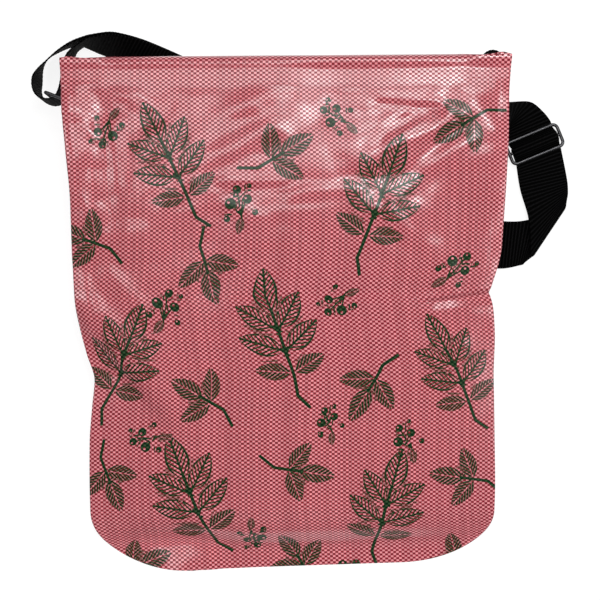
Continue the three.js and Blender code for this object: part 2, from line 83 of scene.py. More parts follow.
# Share of that height which the side edges lose.
FLAP_DROOP = [
    (168, 0), (150, 0.02), (115, 0.07), (77, 0.16), (39, 0.27), (6, 0.33), (-24, 0.36), (-62, 0.40),
    (-90, 0.40), (-140, 0.42), (-220, 0.60),
]
# Dents and folds of the flap from x1, y1 to x2, y2: a ridge (rise > 0) or valley, its width and rise,
# and its kind: 0 soft, 1 crease, 2 a step with its high side on the left of the line, 3 a sharp one, 4 a wide one.
FOLDS = [
    (-180, 142, -165, 42, 11, 2.6, 0), (-156, 140, -145, 60, 6, -1.5, 0), (-186, 142.8, -169, 141, 4, 0.7, 3),
    (-168, 137, -156, 124, 5, 1.0, 0), (-163, 168, -147, 141, 5, -1.7, 0), (-152, 166, -116, 149, 5, 1.3, 0),
    (-140, 148, -116, 136, 6, -0.8, 0), (-188, 155, -178, 155, 5, 0.9, 0),
    (-62, 89, -14, 88, 3.2, 1.1, 2), (-80, 84, -40, 68, 8, 0.9, 0), (-40, 150, -12, 128, 5, 0.5, 0),
    (62, 153, 106, 149, 3.4, 1.3, 2), (56, 97, 116, 133, 8, 2.2, 2), (72, 108, 112, 138, 6, 0.8, 0),
    (60, 72, 116, 18, 9, 1.5, 0), (92, 96, 150, 60, 22, -1.8, 0), (40, 58, 86, 8, 10, -0.8, 0),
    (124, 168, 148, 132, 8, 0.9, 0),
    (104, 0.4, 152, 7.9, 8, 2.1, 3), (150, 18, 118, 10, 6, 0.5, 0), (146, -5, 98, -7, 6.5, 0.6, 0),
    (140, -20, 92, -20, 9, -0.8, 0), (124, -33, 94, -38, 7, 0.6, 0),
    (-174, -14, -112, -84, 27, 4.6, 4), (-162, -60, -130, -57, 4, -1.0, 1),
    (-150, 20, -120, -10, 9, 1.0, 0), (-140, -78, -112, -92, 10, 1.0, 0), (-172, 30, -160, -10, 6, 0.8, 0),
    (-108, -190, -86, -194, 9, 1.2, 0), (96, -168, 130, -150, 14, 0.6, 0),
]
# Patches of small pleats: direction, middle x, y, half length, half width, pitch, height, seed.
STREAKS = [
    (84, -158, 100, 62, 20, 15, 0.50, 41), (31, 82, 122, 48, 30, 17, 0.85, 42), (28, -40, 120, 60, 40, 24, 0.40, 43),
    (8, -20, 78, 60, 18, 16, 0.42, 44), (-40, 90, 40, 50, 26, 20, 0.42, 45),
]
BODY_HALF = [(180, 150), (100, 149), (0, 145), (-100, 139), (-180, 137)]
UNDER = [(176, 45), (135, 48.5), (108, 61.5), (-124, 192.8)]
UNDER_LIFT, UNDER_FLAT, UNDER_RUN = 4.3, 22.0, 30.0

# Sections of the strap: centre x, y, z, turn of the section about +Z, its lean up from the ground.
STRAP_SEWN = [
    (157.4, 176.0, 21.2, 180, -90), (156.9, 185.4, 21.2, 180, -90), (152.4, 191.2, 21.2, 270, -90),
    (146.0, 191.8, 21.2, 270, -90), (140.8, 187.2, 21.2, 330, -90), (140.6, 176.0, 21.2, 0, -90),
    (142.4, 162.0, 21.2, 20, -90), (146.2, 154.0, 21.2, 60, -88), (155.5, 151.8, 21.0, 90, -74),
    (165.2, 145.8, 16.4, 75, -48), (171.6, 145.6, 8.9, 46, -22), (176.8, 141.9, 4.9, 28, -6),
]
STRAP_WAVE = [
    (-13.5, 3.2), (-9, 3.05), (-7.2, 3.2), (-4.7, 6.2), (-2.7, 9.2), (0, 10.1), (2.7, 9.2), (4.7, 6.2),
    (7.2, 3.2), (9, 3.05),
]
STRAP_FLAT = [(194.2, 92.5, 4.2, 14, 0), (197.6, 74.8, 6.2, 35, 0)]
STRAP_FOLD = dict(x=199.0, y=54.8, turn=56.3, radius=2.6, steps=16)
STRAP_UNDER = [
    (180.0, 46.2, 0.7, 77, 0), (160.3, 44.0, 0.7, 84, 0), (135.0, 48.5, 0.7, 74, 0), (108.0, 61.5, 0.7, 63, 0),
    (0.0, 122.6, 0.7, 60.5, 0), (-60.0, 156.6, 0.73, 60.5, 0), (-84.0, 169.2, 0.85, 60.5, 0),
    (-100.4, 177.0, 1.6, 60, 2.9), (-117.6, 184.5, 7.3, 55, 20), (-131.7, 193.0, 14.2, 50, 45),
    (-143.9, 199.8, 18.6, 44.5, 62.4), (-154.8, 202.9, 19.4, 31.7, 66.2), (-167.9, 204.0, 20.6, 0.9, 76.1),
]
STRAP_LOOP = [
    (-180.0, 200.3, 20.9, -10.9, 76.3), (-190.7, 194.4, 21.2, -23.5, 75.4), (-197.9, 188.5, 21.4, -43.6, 75.1),
    (-203.2, 181.3, 21.9, -59.1, 79.7), (-205.6, 172.5, 22.2, 160, 90), (-206.0, 164.6, 22.3, 190, 90),
    (-202.8, 157.9, 22.3, 220, 90), (-195.6, 154.9, 22.3, 250, 90), (-189.2, 156.6, 22.3, 300, 90),
    (-185.9, 162.0, 22.3, 340, 90), (-184.0, 170.5, 22.2, 350, 90), (-182.8, 180.0, 21.6, 350, 90),
    (-180.0, 190.0, 21.0, 350, 88), (-174.8, 197.4, 20.6, 355, 80),
]
STRAP_END = [(9, 1.25), (4.6, 2.1), (1.6, 3.1), (-1.5, 3.1), (-3.0, 5.6), (-1.5, 8.0), (0.9, 8.0)]
TAB = [
    (2.6, -1.05), (6, -1.3), (10, -2.3), (12.8, -2.85), (15.1, -2.05), (16, 0), (15.1, 2.05),
    (12.8, 2.85), (10, 2.3), (6, 1.3), (2.6, 1.05),
]

slider_lo, slider_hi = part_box("slider_right")
OFFSET = np.array([500 * (slider_lo[k] + slider_hi[k]) for k in range(3)]) - np.array([SLIDER["x"], SLIDER["y"], SLIDER["z"]])


# ---------------------------------------------------------------- helpers
def smooth(t):
    c = np.clip(t, 0, 1)
    return c * c * (3 - 2 * c)


def look(rows, x):
    """Smooth curve through the rows (place, value) of a table."""
    rows = sorted(rows)
    k, v = np.array([r[0] for r in rows], float), np.array([r[1] for r in rows], float)
    x = np.clip(np.asarray(x, float), k[0], k[-1])
    i = np.clip(np.searchsorted(k, x, side="right") - 1, 0, len(k) - 2)
    s = np.diff(v) / np.diff(k)
    m = np.zeros(len(k))
    both = s[:-1] * s[1:]
    m[1:-1] = np.where(both > 0, 2 * both / np.where(both > 0, s[:-1] + s[1:], 1), 0)
    h = k[i + 1] - k[i]
    t = (x - k[i]) / h
    return ((2 * t**3 - 3 * t**2 + 1) * v[i] + (t**3 - 2 * t**2 + t) * h * m[i]
            + (-2 * t**3 + 3 * t**2) * v[i + 1] + (t**3 - t**2) * h * m[i + 1])


def to_segment(x, y, x1, y1, x2, y2):
    dx, dy = x2 - x1, y2 - y1
    t = np.clip(((x - x1) * dx + (y - y1) * dy) / (dx * dx + dy * dy), 0, 1)
    return np.hypot(x - x1 - dx * t, y - y1 - dy * t)


def ripples(x, y, length, seed, count=14):
    """Soft uneven ripples of about unit height and a given wavelength."""
    rng = np.random.default_rng(seed)
    z = np.zeros(np.broadcast(x, y).shape)
    for _ in range(count):
        a, w, p = rng.uniform(0, math.pi), 2 * math.pi / (length * rng.uniform(0.75, 1.4)), rng.uniform(0, 2 * math.pi)
        z += np.sin((x * math.cos(a) + y * math.sin(a)) * w + p)
    return z / math.sqrt(count / 2)


def hem_y(x):
    return HEM_Y + HEM_SLOPE * (x - HEM_X)


def top_y(x):
    return FOLD_Y + TOP_SLOPE * (x + 140)


def under_lift(x, y):
    d = np.min([to_segment(x, y, *UNDER[i], *UNDER[i + 1]) for i in range(len(UNDER) - 1)], axis=0)
    return UNDER_LIFT * (1 - smooth((d - UNDER_FLAT) / UNDER_RUN))


def flap_height(x, y):
    left, right = look(FLAP_LEFT, y), look(FLAP_RIGHT, y)
    s = np.minimum(1, np.abs((2 * x - left - right) / (right - left)))
    droop = look(FLAP_DROOP, y) * s ** 2.2
    up = y - hem_y(x)
    rise = look(FLAP_RISE, up - 9 * np.exp(-(((x + 108) / 46) ** 2)) * smooth((95 - up) / 60))
    return REST_Z + 0.3 + (rise - REST_Z - 0.3) * (1 - droop)


def dents(x, y):
    z = np.zeros(np.broadcast(x, y).shape)
    for x1, y1, x2, y2, width, rise, kind in FOLDS:
        d = to_segment(x, y, x1, y1, x2, y2) / width
        if kind == 0:
            z += rise * np.exp(-d * d)
        elif kind == 1:
            z += rise * np.exp(-np.sqrt(d * d + 0.04) * 1.6)
        else:
            side = ((x - x1) * (y2 - y1) - (y - y1) * (x2 - x1)) / math.hypot(x2 - x1, y2 - y1)
            z += rise * np.exp(-d * d) * (-side / width * 1.6 if kind == 2 else -np.tanh(side / (1.1 if kind == 3 else 7.0)))
    return z


def crumple(x, y):
    """Uneven film: soft ripples and a net of faint creases, and streaks of small pleats near the top corners."""
    net = 0.40 * np.abs(ripples(x, y, 74, 21)) + 0.15 * np.abs(ripples(x, y, 37, 22)) + 0.05 * np.abs(ripples(x, y, 19, 23))
    soft = 0.45 * ripples(x, y, 110, 3) + 0.12 * ripples(x, y, 52, 5)
    z = (net + soft) * (0.45 + 0.55 * smooth((y + 60) / 140))
    for turn, mid_x, mid_y, wide, tall, pitch, high, seed in STREAKS:
        c, q = math.cos(math.radians(turn)), math.sin(math.radians(turn))
        along, off = (x - mid_x) * c + (y - mid_y) * q, (y - mid_y) * c - (x - mid_x) * q
        z = z + high * ripples(along / 5, off, pitch, seed) * np.exp(-((along / wide) ** 2) - (off / tall) ** 2)
    return z


def back_height(x, y):
    return REST_Z + under_lift(x, y) + LAP_LIFT * smooth((y - LAP_Y + 16) / 12)


def front_height(x, y):
    return np.maximum(flap_height(x, np.minimum(y, 166.5)) - FRONT_DROP, back_height(x, y) + 5)


def corner(across, tall, up):
    return across * (1 - np.sqrt(np.maximum(0, 1 - np.maximum(0, 1 - up / tall) ** 2)))


def row_heights(top, radius, rows, corner_rows):
    return np.concatenate([np.linspace(top, radius, rows + 1),
                           radius * (1 - np.cos(np.radians(90 * (1 - np.arange(1, corner_rows + 1) / corner_rows))))])


def unit(v):
    return v / np.maximum(np.linalg.norm(v, axis=-1, keepdims=True), 1e-9)


# ---------------------------------------------------------------- meshes
def put(name, verts, faces, node, material, uv=None, bake=None, marks=None):
    """A mesh from arrays, in the shared frame, standing for a CAD node. uv and bake are given for each face corner."""
    mesh = bpy.data.meshes.new(name)
    co = (np.asarray(verts, float) + OFFSET) / 1000
    sizes = np.array([len(f) for f in faces], np.int32) if isinstance(faces, list) else np.full(len(faces), faces.shape[1], np.int32)
    corners = np.concatenate([np.asarray(f) for f in faces]) if isinstance(faces, list) else faces.ravel()
    mesh.vertices.add(len(co))
    mesh.vertices.foreach_set("co", co.astype(np.float32).ravel())
    mesh.loops.add(len(corners))
    mesh.loops.foreach_set("vertex_index", corners.astype(np.int32))
    mesh.polygons.add(len(sizes))
    mesh.polygons.foreach_set("loop_start", np.concatenate([[0], np.cumsum(sizes)[:-1]]).astype(np.int32))
    mesh.polygons.foreach_set("use_smooth", np.ones(len(sizes), bool))
    mesh.update(calc_edges=True)
    for layer, values in (("flat", uv), ("OFBake", bake)):
        if values is not None:
            mesh.uv_layers.new(name=layer).data.foreach_set("uv", np.asarray(values, np.float32).ravel())
    for key, values in (marks or {}).items():
        mesh.attributes.new(key, "FLOAT_VECTOR", "POINT").data.foreach_set("vector", np.asarray(values, np.float32).ravel())
    mesh.validate()
    obj = bpy.data.objects.new(name, mesh)
    bpy.context.scene.collection.objects.link(obj)
    mesh.materials.append(material)
    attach(obj, "root")
    if node:
        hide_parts(node)
    return obj


def wall(points, thick):
    """Closed wall on both sides of a grid of points: vertices, faces (4 corners) and their grid places."""
    rows, cols = points.shape[:2]
    du, dv = np.empty_like(points), np.empty_like(points)
    du[:, 1:-1], du[:, 0], du[:, -1] = points[:, 2:] - points[:, :-2], points[:, 1] - points[:, 0], points[:, -1] - points[:, -2]
    dv[1:-1], dv[0], dv[-1] = points[2:] - points[:-2], points[1] - points[0], points[-1] - points[-2]
    n = unit(np.cross(du, dv))
    verts = np.concatenate([(points + n * thick / 2).reshape(-1, 3), (points - n * thick / 2).reshape(-1, 3)])
    a = (np.arange(rows - 1)[:, None] * cols + np.arange(cols - 1)).ravel()
    top = np.stack([a, a + 1, a + cols + 1, a + cols], 1)
    rim = np.concatenate([np.arange(cols - 1), np.arange(rows - 1) * cols + cols - 1,
                          (rows - 1) * cols + np.arange(cols - 1, 0, -1), np.arange(rows - 1, 0, -1) * cols])
    after, half = np.roll(rim, -1), rows * cols
    faces = np.concatenate([top, top[:, ::-1] + half, np.stack([after, rim, rim + half, after + half], 1)])
    return verts, faces, half


def wall_uv(faces, half, flat, size):
    """Flat places in metres for each face corner, and a layout for baking: upper side large, lower side small."""
    f = flat.reshape(-1, 2)
    lo, span = f.min(0), max(np.ptp(f[:, 0]) / 0.735, np.ptp(f[:, 1]))
    over = (f - lo) / span * 0.998 + 0.001
    under = (f - lo) / span * 0.335 + np.array([0.748, 0.002])
    which = np.all(faces >= half, axis=1)
    at = faces % half
    return f[at] / 1000, np.where(which[:, None, None], under[at], over[at])


def flat_places(points, middle_row):
    """Developed places of a grid of points: along each row from its middle, along each column from a given row."""
    d = np.diff(points, axis=1)
    a = np.concatenate([np.zeros((len(points), 1)), np.cumsum(np.hypot(d[..., 0], d[..., 2]), 1)], 1)
    a -= a[:, a.shape[1] // 2][:, None]
    d = np.diff(points, axis=0)
    b = np.concatenate([[0], np.cumsum(np.hypot(d[..., 1], d[..., 2])[:, points.shape[1] // 2])])
    return np.stack([a, np.broadcast_to((b[middle_row] - b)[:, None], a.shape)], -1)


def tube(rings, loop=False, lanes=1):
    """Closed skin over a row of closed sections: vertices, faces as a list, and bake places."""
    n, m = rings.shape[:2]
    i = np.arange(n if loop else n - 1)
    j = np.arange(m)
    a, b = np.meshgrid(i, j, indexing="ij")
    i2, j2 = (a + 1) % n, (b + 1) % m
    quads = np.stack([a * m + b, a * m + j2, i2 * m + j2, i2 * m + b], -1).reshape(-1, 4)
    per = math.ceil(len(i) / lanes)
    lane, v0 = a // per, (a % per) / per
    u = np.stack([b, b + 1, b + 1, b], -1) / m
    v = np.stack([v0, v0, v0 + 1 / per, v0 + 1 / per], -1)
    bake = np.stack([(lane[..., None] + 0.02 + 0.96 * u) / lanes, 0.01 + 0.97 * v], -1).reshape(-1, 4, 2)
    places = np.stack([np.stack([b, b + 1, b + 1, b], -1), np.stack([a, a, a + 1, a + 1], -1)], -1).reshape(-1, 4, 2)
    faces = list(quads)
    if not loop:
        faces += [np.arange(m)[::-1], (n - 1) * m + np.arange(m)]
    return rings.reshape(-1, 3), faces, bake, places


# ---------------------------------------------------------------- materials
class Shader:
    """Short hand for a material's nodes."""

    def __init__(self, name):
        self.material = bpy.data.materials.new(name)
        self.material.use_nodes = True
        self.tree = self.material.node_tree
        self.tree.nodes.clear()
        self.out = self.tree.nodes.new("ShaderNodeOutputMaterial")
        self.face = self.tree.nodes.new("ShaderNodeBsdfPrincipled")
        self.tree.links.new(self.face.outputs[0], self.out.inputs[0])

    def node(self, kind, **values):
        n = self.tree.nodes.new("ShaderNode" + kind)
        for k, v in values.items():
            setattr(n, k, v)
        return n

    def set(self, socket, value):
        if isinstance(value, bpy.types.NodeSocket):
            self.tree.links.new(value, socket)
        else:
            socket.default_value = value

    def math(self, op, *args, clamp=False):
        n = self.node("Math", operation=op, use_clamp=clamp)
        for k, v in enumerate(args):
            self.set(n.inputs[k], v)
        return n.outputs[0]

    def mix(self, share, a, b):
        n = self.node("Mix", data_type="RGBA")
        self.set(n.inputs[0], share)
        self.set(n.inputs[6], a)
        self.set(n.inputs[7], b)
        return n.outputs[2]

    def blend(self, share, a, b):
        n = self.node("Mix", data_type="FLOAT")
        self.set(n.inputs[0], share)
        self.set(n.inputs[2], a)
        self.set(n.inputs[3], b)
        return n.outputs[0]

    def step(self, value, low, high):
        n = self.node("MapRange", interpolation_type="SMOOTHSTEP")
        self.set(n.inputs[0], value)
        n.inputs[1].default_value, n.inputs[2].default_value = min(low, high), max(low, high)
        n.inputs[3].default_value, n.inputs[4].default_value = (0, 1) if low < high else (1, 0)
        return n.outputs[0]

    def parts(self, vector):
        n = self.node("SeparateXYZ")
        self.tree.links.new(vector, n.inputs[0])
        return n.outputs[0], n.outputs[1], n.outputs[2]

    def mark(self, name):
        return self.parts(self.node("Attribute", attribute_name=name).outputs["Vector"])

    def flat(self):
        x, y, _ = self.parts(self.node("UVMap", uv_map="flat").outputs[0])
        return self.math("MULTIPLY", x, 1000.0), self.math("MULTIPLY", y, 1000.0)

    def noise(self, vector, scale, detail=2.0):
        n = self.node("TexNoise")
        n.inputs["Scale"].default_value, n.inputs["Detail"].default_value = scale, detail
        if vector is not None:
            self.tree.links.new(vector, n.inputs["Vector"])
        return n.outputs[0]

    def bump(self, height, strength, distance, normal=None):
        n = self.node("Bump")
        n.inputs["Strength"].default_value, n.inputs["Distance"].default_value = strength, distance
        self.tree.links.new(height, n.inputs["Height"])
        if normal is not None:
            self.tree.links.new(normal, n.inputs["Normal"])
        return n.outputs[0]

    def finish(self, colour, roughness, normal=None, **fixed):
        self.set(self.face.inputs["Base Color"], colour)
        self.set(self.face.inputs["Roughness"], roughness)
        if normal is not None:
            self.tree.links.new(normal, self.face.inputs["Normal"])
        for k, v in fixed.items():
            self.face.inputs[k.replace("_", " ")].default_value = v
        return self.material


def linear(r, g, b):
    f = lambda c: c / 12.92 if c <= 0.04045 else ((c + 0.055) / 1.055) ** 2.4
    return (f(r / 255), f(g / 255), f(b / 255), 1.0)


def cloth_material():
    """Checker weave of pink and deep red tapes under a glossy film, each tape darkened towards its edges as painted
    shade, with a dark green leaf print.
    """
    s = Shader("sack_cloth")
    a, b = s.flat()
    u, v = s.math("DIVIDE", a, TAPE_U), s.math("DIVIDE", b, TAPE_V)
    iu, iv = s.math("FLOOR", u), s.math("FLOOR", v)
    parity = s.math("GREATER_THAN", s.math("PINGPONG", s.math("ADD", iu, iv), 1.0), 0.5)
    round_u = s.math("SINE", s.math("MULTIPLY", s.math("FRACT", u), math.pi))
    round_v = s.math("SINE", s.math("MULTIPLY", s.math("FRACT", v), math.pi))
    pillow = s.math("POWER", s.math("MULTIPLY", round_u, round_v, clamp=True), 0.5)
    warp, weft = s.node("TexWhiteNoise", noise_dimensions="1D"), s.node("TexWhiteNoise", noise_dimensions="1D")
    s.set(warp.inputs["W"], iu)
    s.set(weft.inputs["W"], iv)
    tape_tone_and_shade = s.blend(parity, weft.outputs["Value"], warp.outputs["Value"])
    tape_tone_and_shade = s.math("ADD", s.math("MULTIPLY", tape_tone_and_shade, 0.22), 0.80)
    # painted shade: each tape is lightest on its crown and darker towards its edges, where it dips under its
    # neighbours; the random tone per tape is real
    tape_tone_and_shade = s.math("MULTIPLY", tape_tone_and_shade, s.math("ADD", s.math("MULTIPLY", pillow, 0.30), 0.76))
    weave = s.mix(parity, (0.225, 0.017, 0.027, 1), (0.82, 0.280, 0.310, 1))
    grey = s.node("CombineXYZ")
    for k in range(3):
        s.set(grey.inputs[k], tape_tone_and_shade)
    shade = s.node("Mix", data_type="RGBA", blend_type="MULTIPLY")
    shade.inputs[0].default_value = 1.0
    s.set(shade.inputs[6], weave)
    s.tree.links.new(grey.outputs[0], shade.inputs[7])

    # leaves: lu runs from the foot (-1) to the tip (1), lv across; outline, veins and solid leaves
    lu, lv, near = s.mark("leaf")
    style, _, _ = s.mark("style")
    across = s.math("ABSOLUTE", lv)
    belly = s.math("MULTIPLY", s.math("POWER", s.math("SUBTRACT", 1.0, s.math("MULTIPLY", lu, lu), clamp=True), 0.8),
                   s.math("SUBTRACT", 1.0, s.math("MULTIPLY", lu, 0.22)))
    reach = s.math("DIVIDE", across, s.math("MAXIMUM", belly, 0.001))
    inside = s.math("MULTIPLY", s.step(reach, 1.04, 0.97), s.step(near, 1.05, 1.0))
    edge = s.step(reach, 0.76, 0.84)
    rib = s.step(across, 0.12, 0.07)
    veins = s.math("FRACT", s.math("MULTIPLY", s.math("SUBTRACT", lu, s.math("MULTIPLY", across, 0.62)), 4.0))
    veins = s.step(s.math("PINGPONG", veins, 0.5), 0.25, 0.32)
    drawn = s.math("MAXIMUM", s.math("MAXIMUM", edge, rib), veins)
    solid = s.math("SUBTRACT", 1.0, s.math("MAXIMUM", s.step(across, 0.09, 0.05), s.math("MULTIPLY", s.step(veins, 0.55, 0.9), 0.55)))
    leaf = s.math("MULTIPLY", inside, s.blend(s.math("GREATER_THAN", style, 0.5), drawn, solid))
    side, far, wide = s.mark("stem")
    stem = s.math("MULTIPLY", s.step(s.math("DIVIDE", s.math("ABSOLUTE", side), s.math("MAXIMUM", wide, 0.05)), 1.1, 0.9), s.step(far, 2.6, 2.2))
    bu, bv, round_it = s.mark("berry")
    ball = s.math("SQRT", s.math("ADD", s.math("MULTIPLY", bu, bu), s.math("MULTIPLY", bv, bv)))
    eye = s.math("SQRT", s.math("ADD", s.math("POWER", s.math("ADD", bu, 0.30), 2.0), s.math("POWER", s.math("SUBTRACT", bv, 0.30), 2.0)))
    berry = s.math("MULTIPLY", s.math("MULTIPLY", s.step(ball, 1.06, 0.96), s.step(round_it, 1.9, 1.6)), s.step(eye, 0.20, 0.30))
    ink = s.math("MAXIMUM", s.math("MAXIMUM", leaf, stem), berry)
    ink = s.math("MULTIPLY", ink, s.blend(parity, 1.0, 0.97))
    # ink colour: lighter over the pink tapes than over the red ones, and lighter on each pink tape's crown and darker
    # towards its edges as painted light and shade
    green = s.mix(s.math("MULTIPLY", parity, pillow), (0.001, 0.016, 0.004, 1), (0.006, 0.070, 0.021, 1))
    colour = s.mix(ink, shade.outputs[2], green)

    film = s.noise(s.node("UVMap", uv_map="flat").outputs[0], 60.0, 3.0)
    rough = s.math("ADD", s.math("MULTIPLY", film, 0.10), 0.14)
    bare = s.math("MULTIPLY", parity, s.math("SUBTRACT", 1.0, ink))
    s.set(s.face.inputs["Coat Weight"], s.math("ADD", s.math("MULTIPLY", bare, 0.93), 0.05))
    normal = s.bump(s.math("MULTIPLY", round_u, round_v), 0.6, 0.00007)
    return s.finish(colour, rough, normal, Coat_Roughness=0.16, Coat_IOR=1.5, Specular_IOR_Level=0.22)


def web_material():
    """Black ribbed webbing: cross ribs of twisted yarn, their crests coloured lighter as a painted highlight."""
    s = Shader("webbing")
    a, b = s.flat()
    rib = s.math("COSINE", s.math("MULTIPLY", b, 2 * math.pi / WEB_RIB))
    yarn = s.math("SINE", s.math("ADD", s.math("MULTIPLY", a, 2 * math.pi / 1.15), s.math("MULTIPLY", b, 2 * math.pi / WEB_RIB)))
    height = s.math("ADD", s.math("MULTIPLY", rib, 0.6), s.math("MULTIPLY", yarn, 0.4))
    fuzz = s.noise(s.node("UVMap", uv_map="flat").outputs[0], 900.0, 3.0)
    # painted highlight: the rib crests are coloured lighter than the valleys between them
    painted_rib_light = s.step(s.math("ADD", height, s.math("MULTIPLY", fuzz, 0.6)), 0.15, 1.3)
    colour = s.mix(painted_rib_light, (0.0002, 0.0002, 0.0002, 1), (0.0075, 0.0075, 0.0079, 1))
    normal = s.bump(height, 0.55, 0.0005)
    return s.finish(colour, s.math("ADD", s.math("MULTIPLY", fuzz, 0.2), 0.6), normal, Specular_IOR_Level=0.02)


def metal_material():
    """Nickel-plated wire, satin with fine scratches, its colour kept near black as painted shade."""
    s = Shader("metal")
    place = s.node("TexCoord").outputs["Object"]
    scratch = s.noise(place, 320.0, 3.0)
    cloud = s.noise(place, 120.0, 2.0)
    # painted shade: the wire's colour is kept near black, standing in for the dark surroundings it reflects; the cloud
    # is random tone
    colour = s.mix(cloud, (0.05, 0.05, 0.053, 1), (0.08, 0.08, 0.084, 1))
    normal = s.bump(scratch, 0.04, 0.00003)
    return s.finish(colour, s.math("ADD", s.math("MULTIPLY", scratch, 0.08), 0.32), normal, Metallic=1.0)


CLOTH_LOOK, WEB_LOOK, METAL_LOOK = cloth_material(), web_material(), metal_material()

# ---------------------------------------------------------------- print
# A sprig: rows of leaves (foot x, y, direction, length, width, style 0 veined or 1 solid) and of stems.
SPRIG = dict(
    leaves=[
        (0, 17, 90, 33, 17, 0), (-2, 7, 136, 30, 15, 0), (2, 7, 44, 30, 15, 0), (-2, -9, 150, 31, 15, 0),
        (2, -9, 30, 31, 15, 0), (-2, -25, 163, 25, 12, 1), (2, -25, 17, 25, 12, 1),
    ],
    stems=[(0, 18, 0, -42, 1.2), (0, 4, -2, 7, 0.9), (0, 4, 2, 7, 0.9), (0, -12, -2, -9, 0.9), (0, -12, 2, -9, 0.9),
           (0, -42, 6, -51, 1.2)],
    berries=[],
)
TWIG = dict(
    leaves=[(0, 5, 90, 26, 13, 1), (-1, -2, 150, 24, 12, 1), (1, -2, 30, 24, 12, 1)],
    stems=[(0, 6, 0, -13, 1.1), (0, -13, -6, -23, 1.1)],
    berries=[],
)
BERRIES = dict(
    leaves=[(0, -3, 250, 12, 6, 1)],
    stems=[(0, -3, -4, 6, 0.5), (0, -3, 4, 7, 0.5), (0, -3, 0, 12, 0.5)],
    berries=[(-6, 8, 3.9), (6, 9, 3.3), (0, 17, 3.0), (10, -1, 2.1), (-10, -2, 2.3), (9, 18, 1.7)],
)
# Where they are printed on the flat cloth: motif, across, down from the top edge, turn, scale.
LAYOUT = [
    (SPRIG, -88, 62, 24, 1.05), (SPRIG, 70, 92, -20, 1.1), (SPRIG, -6, 196, 12, 1.1), (SPRIG, -132, 212, -28, 1.0),
    (SPRIG, 128, 226, 22, 1.0), (SPRIG, -78, 322, 20, 1.1), (SPRIG, 72, 336, -16, 1.05),
    (TWIG, -10, 58, -60, 1.15), (TWIG, -150, 120, 70, 1.1), (TWIG, 142, 30, 120, 1.1), (TWIG, -62, 138, 200, 1.1),
    (TWIG, 62, 232, 150, 1.15), (TWIG, -66, 244, 60, 1.1), (TWIG, 0, 300, -100, 1.1), (TWIG, 140, 312, 80, 1.1),
    (TWIG, -146, 300, 200, 1.05), (TWIG, 4, 386, 30, 1.1), (TWIG, -130, 384, -70, 1.05), (TWIG, 128, 392, 10, 1.0),
    (BERRIES, -36, 100, 10, 1.1), (BERRIES, 128, 150, -40, 1.1), (BERRIES, -136, 30, 160, 1.0), (BERRIES, 44, 30, 60, 1.0),
    (BERRIES, 46, 166, 130, 1.0), (BERRIES, -94, 178, -20, 1.1), (BERRIES, 92, 284, 30, 1.0), (BERRIES, -34, 352, 190, 1.0),
    (BERRIES, 34, 398, -50, 1.0), (BERRIES, -108, 272, 100, 1.0), (BERRIES, 30, 268, 20, 0.9), (BERRIES, -70, 404, 80, 1.0),
]


def marks_for(flat):
    """For each point of the flat cloth: place in the nearest leaf, stem and berry."""
    x, y = flat[..., 0].ravel(), flat[..., 1].ravel()
    best = dict(leaf=np.full(len(x), 9.0), stem=np.full(len(x), 99.0), berry=np.full(len(x), 9.0))
    leaf, stem, berry = np.full((len(x), 3), 9.0), np.full((len(x), 3), 99.0), np.full((len(x), 3), 9.0)
    style = np.zeros((len(x), 3))
    for motif, px, down, turn, scale in LAYOUT:
        c, s = math.cos(math.radians(turn)), math.sin(math.radians(turn))
        qx, qy = ((x - px) * c + (y + down) * s) / scale, (-(x - px) * s + (y + down) * c) / scale
        for fx, fy, way, length, width, kind in motif["leaves"]:
            dx, dy = math.cos(math.radians(way)), math.sin(math.radians(way))
            lu = ((qx - fx) * dx + (qy - fy) * dy) / length * 2 - 1
            lv = (-(qx - fx) * dy + (qy - fy) * dx) / (width / 2)
            near = np.maximum(np.abs(lu), np.abs(lv) / 1.1)
            hit = near < best["leaf"]
            best["leaf"][hit] = near[hit]
            leaf[hit] = np.stack([lu, lv, near], 1)[hit]
            style[hit, 0] = kind
        for x1, y1, x2, y2, half in motif["stems"]:
            length = math.hypot(x2 - x1, y2 - y1)
            side = ((qx - x1) * (y2 - y1) - (qy - y1) * (x2 - x1)) / length
            far = to_segment(qx, qy, x1, y1, x2, y2)
            hit = far < best["stem"]
            best["stem"][hit] = far[hit]
            stem[hit] = np.stack([side, far, np.full(len(x), half)], 1)[hit]
        for bx, by, radius in motif["berries"]:
            bu, bv = (qx - bx) / radius, (qy - by) / radius
            near = np.hypot(bu, bv)
            hit = near < best["berry"]
            best["berry"][hit] = near[hit]
            berry[hit] = np.stack([bu, bv, near], 1)[hit]
    return dict(leaf=leaf, stem=stem, berry=berry, style=style)


def cloth_piece(name, points, flat):
    """A cloth wall with weave and print. Returns the object and its area in square metres."""
    verts, faces, half = wall(points, CLOTH)
    uv, bake = wall_uv(faces, half, flat, None)
    marks = {k: np.concatenate([v, v]) for k, v in marks_for(flat).items()}
    obj = put(name + "_cloth", verts, faces, name, CLOTH_LOOK, uv, bake, marks)
    d1, d2 = points[1:, 1:] - points[:-1, :-1], points[:-1, 1:] - points[1:, :-1]
    return obj, float(np.linalg.norm(np.cross(d1, d2), axis=-1).sum() / 2) / 1e6


